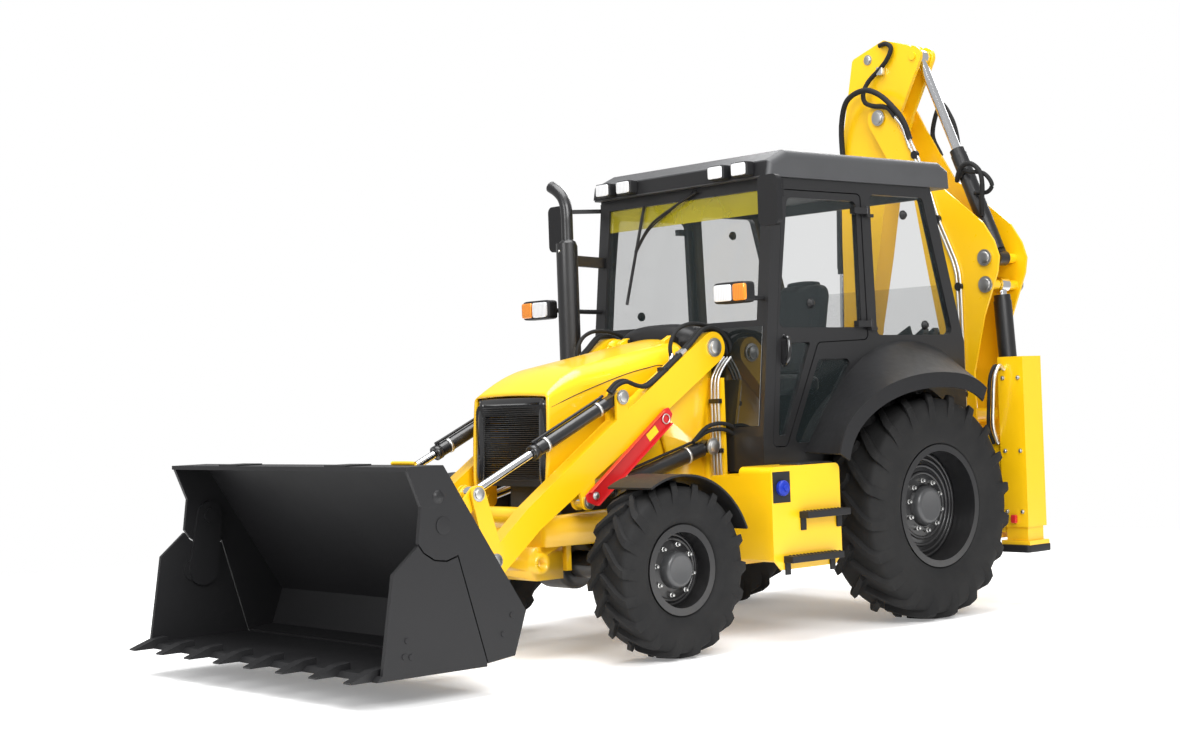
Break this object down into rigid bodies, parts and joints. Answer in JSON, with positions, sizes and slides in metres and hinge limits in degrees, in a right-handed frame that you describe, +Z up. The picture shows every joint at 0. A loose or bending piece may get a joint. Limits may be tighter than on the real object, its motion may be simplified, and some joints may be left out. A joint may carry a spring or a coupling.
{
  "type": "backhoe loader",
  "caption": "Wheeled backhoe loader with a cab, a clam loader bucket on lift arms at the front and a side-shifting backhoe folded for transport at the rear.",
  "frame": {"origin": "middle of the machine's box, on the ground", "axes": "+X forward to the loader bucket, +Y to the driver's left, +Z up"},
  "size_m": [6.11, 2.3, 3.9867],
  "materials": {
    "yellow_paint": "gloss",
    "black_paint": "satin",
    "bucket_paint": "satin",
    "cab_paint": "satin",
    "red_paint": "gloss",
    "black_plastic": "matt",
    "tyre_rubber": "matt",
    "tinted_glass": "clear",
    "chromed_rod": "polished",
    "engine_iron": "cast",
    "seat_cloth": "woven",
    "exhaust_paint": "satin"
  },
  "bodies": {
    "chassis": {"main_frame": "yellow_paint", "rear_frame": "yellow_paint", "engine_block": "engine_iron", "front_axle": "yellow_paint", "rear_axle": "yellow_paint", "cowl": "black_plastic", "cab_frame": "cab_paint", "cab_roof": "cab_paint", "cab_glass": "tinted_glass", "rear_guards": "black_plastic", "step_boxes": "yellow_paint", "exhaust": "exhaust_paint", "lamps": "black_plastic", "mirrors": "black_plastic", "seat": "seat_cloth", "cab_controls": "black_plastic"},
    "hood_cover": {"hood": "yellow_paint", "grille": "black_plastic"},
    "left_door": {"door_left": "cab_paint", "door_glass_left": "tinted_glass"},
    "right_door": {"door_right": "cab_paint", "door_glass_right": "tinted_glass"},
    "arms": {"loader_arms": "yellow_paint", "safety_strut": "red_paint"},
    "bucket": {"bucket_back": "bucket_paint"},
    "jaw": {"bucket_jaw": "bucket_paint"},
    "left_knuckle": {"knuckle_left": "yellow_paint", "front_guard_left": "black_plastic"},
    "right_knuckle": {"knuckle_right": "yellow_paint", "front_guard_right": "black_plastic"},
    "lift_barrels": {"lift_barrels": "black_paint"},
    "lift_rods": {"lift_rods": "chromed_rod"},
    "tilt_barrels": {"tilt_barrels": "black_paint"},
    "tilt_rods": {"tilt_rods": "chromed_rod"},
    "tilt_levers": {"tilt_levers": "yellow_paint"},
    "tilt_links": {"tilt_links": "yellow_paint"},
    "carriage": {"carriage": "yellow_paint"},
    "kingpost": {"kingpost": "yellow_paint"},
    "boom": {"boom": "yellow_paint"},
    "boom_barrel": {"boom_barrel": "black_paint"},
    "boom_rod": {"boom_rod": "chromed_rod"},
    "dipper": {"dipper": "yellow_paint"},
    "dipper_barrel": {"dipper_barrel": "black_paint"},
    "dipper_rod": {"dipper_rod": "chromed_rod"},
    "hoe_bucket": {"hoe_bucket": "bucket_paint"},
    "hoe_barrel": {"hoe_barrel": "black_paint"},
    "hoe_rod": {"hoe_rod": "chromed_rod"},
    "hoe_lever": {"hoe_lever": "yellow_paint"},
    "hoe_link": {"hoe_link": "yellow_paint"},
    "stabiliser_left": {"stabiliser_left": "yellow_paint"},
    "stabiliser_right": {"stabiliser_right": "yellow_paint"},
    "rear_left_wheel": {"tyre_rear_left": "tyre_rubber", "rim_rear_left": "black_paint"},
    "rear_right_wheel": {"tyre_rear_right": "tyre_rubber", "rim_rear_right": "black_paint"},
    "front_left_wheel": {"tyre_front_left": "tyre_rubber", "rim_front_left": "black_paint"},
    "front_right_wheel": {"tyre_front_right": "tyre_rubber", "rim_front_right": "black_paint"}
  },
  "joints": [
    {"name": "loader_lift", "type": "hinge", "parent": "chassis", "child": "arms", "pos_m": [-0.035, 0, 1.745], "axis": [0, -1, 0], "range_deg": [-4, 75]},
    {"name": "lift_barrel_turn", "type": "hinge", "parent": "chassis", "child": "lift_barrels", "pos_m": [0.005, 0, 1.15], "axis": [0, -1, 0], "range_deg": [-3.61, 67.51]},
    {"name": "lift_rod_slide", "type": "slide", "parent": "lift_barrels", "child": "lift_rods", "axis": [0.9654, 0, -0.2607], "range_m": [-0.03771, 0.70526]},
    {"name": "bucket_tilt", "type": "hinge", "parent": "arms", "child": "bucket", "pos_m": [1.905, 0, 0.4], "axis": [0, 1, 0], "range_deg": [-30, 95]},
    {"name": "tilt_lever_turn", "type": "hinge", "parent": "arms", "child": "tilt_levers", "pos_m": [1.701, 0, 0.6], "axis": [0, 1, 0], "range_deg": [-30.07, 95.2]},
    {"name": "tilt_link_turn", "type": "hinge", "parent": "tilt_levers", "child": "tilt_links", "pos_m": [1.805, 0, 0.97], "axis": [0, 1, 0], "range_deg": [-95.2, 30.07]},
    {"name": "tilt_barrel_turn", "type": "hinge", "parent": "arms", "child": "tilt_barrels", "pos_m": [0.724, 0, 1.465], "axis": [0, 1, 0], "range_deg": [-3.87, 12.25]},
    {"name": "tilt_rod_slide", "type": "slide", "parent": "tilt_barrels", "child": "tilt_rods", "axis": [0.9092, 0, -0.4163], "range_m": [-0.15223, 0.48185]},
    {"name": "clam_open", "type": "hinge", "parent": "bucket", "child": "jaw", "pos_m": [2.515, 0, 0.868], "axis": [0, -1, 0], "range_deg": [0, 60]},
    {"name": "hood_open", "type": "hinge", "parent": "chassis", "child": "hood_cover", "pos_m": [0.033, 0, 1.812], "axis": [0, -1, 0], "range_deg": [0, 50]},
    {"name": "door_left_open", "type": "hinge", "parent": "chassis", "child": "left_door", "pos_m": [-1.14, 0.8, 2.2], "axis": [0, 0, 1], "range_deg": [0, 75]},
    {"name": "door_right_open", "type": "hinge", "parent": "chassis", "child": "right_door", "pos_m": [-1.14, -0.8, 2.2], "axis": [0, 0, -1], "range_deg": [0, 75]},
    {"name": "steer_left", "type": "hinge", "parent": "chassis", "child": "left_knuckle", "pos_m": [0.78, 0.7, 0.495], "axis": [0, 0, 1], "range_deg": [-33, 33]},
    {"name": "steer_right", "type": "hinge", "parent": "chassis", "child": "right_knuckle", "pos_m": [0.78, -0.7, 0.495], "axis": [0, 0, 1], "range_deg": [-33.1, 33.1]},
    {"name": "rear_left_spin", "type": "hinge", "parent": "chassis", "child": "rear_left_wheel", "pos_m": [-1.395, 0.905, 0.715], "axis": [0, 1, 0], "continuous": true},
    {"name": "front_left_spin", "type": "hinge", "parent": "left_knuckle", "child": "front_left_wheel", "pos_m": [0.78, 0.89, 0.495], "axis": [0, 1, 0], "continuous": true},
    {"name": "rear_right_spin", "type": "hinge", "parent": "chassis", "child": "rear_right_wheel", "pos_m": [-1.395, -0.905, 0.715], "axis": [0, 1, 0], "continuous": true},
    {"name": "front_right_spin", "type": "hinge", "parent": "right_knuckle", "child": "front_right_wheel", "pos_m": [0.78, -0.89, 0.495], "axis": [0, 1, 0], "continuous": true},
    {"name": "side_shift", "type": "slide", "parent": "chassis", "child": "carriage", "axis": [0, -1, 0], "range_m": [0, 1.24]},
    {"name": "boom_swing", "type": "hinge", "parent": "carriage", "child": "kingpost", "pos_m": [-2.775, 0.62, 0.7], "axis": [0, 0, -1], "range_deg": [0, 180]},
    {"name": "boom_lower", "type": "hinge", "parent": "kingpost", "child": "boom", "pos_m": [-2.775, 0.37, 0.72], "axis": [1, 0, 0], "range_deg": [0, 125]},
    {"name": "boom_barrel_turn", "type": "hinge", "parent": "kingpost", "child": "boom_barrel", "pos_m": [-2.775, 0.66, 1.12], "axis": [1, 0, 0], "range_deg": [-0.01, 119.58]},
    {"name": "boom_rod_slide", "type": "slide", "parent": "boom_barrel", "child": "boom_rod", "axis": [0, -0.0678, 0.9977], "range_m": [-0.0001, 0.86735]},
    {"name": "dipper_out", "type": "hinge", "parent": "boom", "child": "dipper", "pos_m": [-2.775, -0.305, 3.416], "axis": [-1, 0, 0], "range_deg": [0, 125]},
    {"name": "dipper_barrel_turn", "type": "hinge", "parent": "boom", "child": "dipper_barrel", "pos_m": [-2.775, 0.59, 2.335], "axis": [-1, 0, 0], "range_deg": [-25.35, 0.01]},
    {"name": "dipper_rod_slide", "type": "slide", "parent": "dipper_barrel", "child": "dipper_rod", "axis": [0, -0.3899, 0.9208], "range_m": [-0.68299, 0.0001]},
    {"name": "hoe_bucket_dump", "type": "hinge", "parent": "dipper", "child": "hoe_bucket", "pos_m": [-2.775, -0.68964, 1.60643], "axis": [-1, 0, 0], "range_deg": [0, 165]},
    {"name": "hoe_lever_turn", "type": "hinge", "parent": "dipper", "child": "hoe_lever", "pos_m": [-2.775, -0.61956, 1.88801], "axis": [-1, 0, 0], "range_deg": [-0.01, 111.62]},
    {"name": "hoe_link_turn", "type": "hinge", "parent": "hoe_lever", "child": "hoe_link", "pos_m": [-2.775, -0.86782, 1.62731], "axis": [-1, 0, 0], "range_deg": [-71, 0.01]},
    {"name": "hoe_barrel_turn", "type": "hinge", "parent": "dipper", "child": "hoe_barrel", "pos_m": [-2.775, -0.81855, 3.11622], "axis": [-1, 0, 0], "range_deg": [-0.01, 1.99]},
    {"name": "hoe_rod_slide", "type": "slide", "parent": "hoe_barrel", "child": "hoe_rod", "axis": [0, -0.0331, -0.9995], "range_m": [-0.58783, 0.0001]},
    {"name": "stabiliser_left_down", "type": "slide", "parent": "chassis", "child": "stabiliser_left", "axis": [0, 0, -1], "range_m": [0, 0.5]},
    {"name": "stabiliser_right_down", "type": "slide", "parent": "chassis", "child": "stabiliser_right", "axis": [0, 0, -1], "range_m": [0, 0.5]}
  ],
  "couplings": [
    {"joint": "lift_barrel_turn", "follows": "loader_lift", "ratio": 0.89829},
    {"joint": "lift_rod_slide", "follows": "loader_lift", "m_per_rad": 0.53763},
    {"joint": "tilt_lever_turn", "follows": "bucket_tilt", "ratio": 1},
    {"joint": "tilt_link_turn", "follows": "bucket_tilt", "ratio": -1},
    {"joint": "tilt_barrel_turn", "follows": "bucket_tilt", "ratio": 0.12867},
    {"joint": "tilt_rod_slide", "follows": "bucket_tilt", "m_per_rad": 0.28997},
    {"joint": "steer_right", "follows": "steer_left", "ratio": 1},
    {"joint": "boom_barrel_turn", "follows": "boom_lower", "ratio": 0.95472},
    {"joint": "boom_rod_slide", "follows": "boom_lower", "m_per_rad": 0.39672},
    {"joint": "dipper_barrel_turn", "follows": "dipper_out", "ratio": -0.20237},
    {"joint": "dipper_rod_slide", "follows": "dipper_out", "m_per_rad": -0.31239},
    {"joint": "hoe_lever_turn", "follows": "hoe_bucket_dump", "ratio": 0.67511},
    {"joint": "hoe_link_turn", "follows": "hoe_bucket_dump", "ratio": -0.42941},
    {"joint": "hoe_barrel_turn", "follows": "hoe_bucket_dump", "ratio": 0.012},
    {"joint": "hoe_rod_slide", "follows": "hoe_bucket_dump", "m_per_rad": -0.20368}
  ]
}
